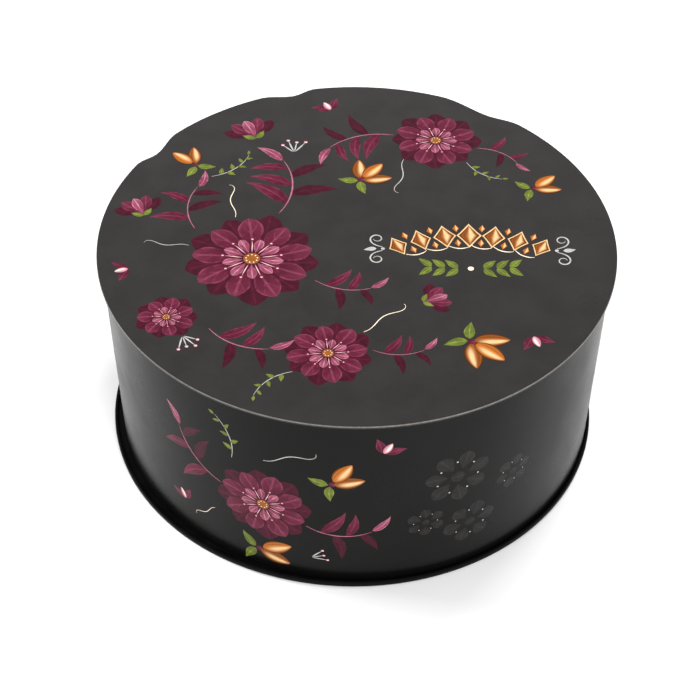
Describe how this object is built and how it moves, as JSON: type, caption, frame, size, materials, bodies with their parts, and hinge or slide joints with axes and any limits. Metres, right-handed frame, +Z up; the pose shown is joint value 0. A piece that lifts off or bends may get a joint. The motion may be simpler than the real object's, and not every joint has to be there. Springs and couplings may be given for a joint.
{
  "type": "round cake box",
  "caption": "Shut round cake box: a tapered printed side wall on a shallow black tray, under a flat overhanging printed lid board.",
  "frame": {"origin": "middle of the footprint's bounding box, on the surface the box stands on", "axes": "+Z up through the lid; -Y is the front, which the lid's three edge dips face away from"},
  "size_m": [0.24, 0.24, 0.108],
  "materials": {
    "tray_black": "black thermoformed tray, semi-gloss",
    "wall_print": "dark brown printed board under a gloss film",
    "lid_print": "dark brown printed board under a satin film, with floral print"
  },
  "bodies": {
    "root": {"base_tray": "tray_black", "side_wall": "wall_print", "lid_board": "lid_print"}
  },
  "joints": []
}
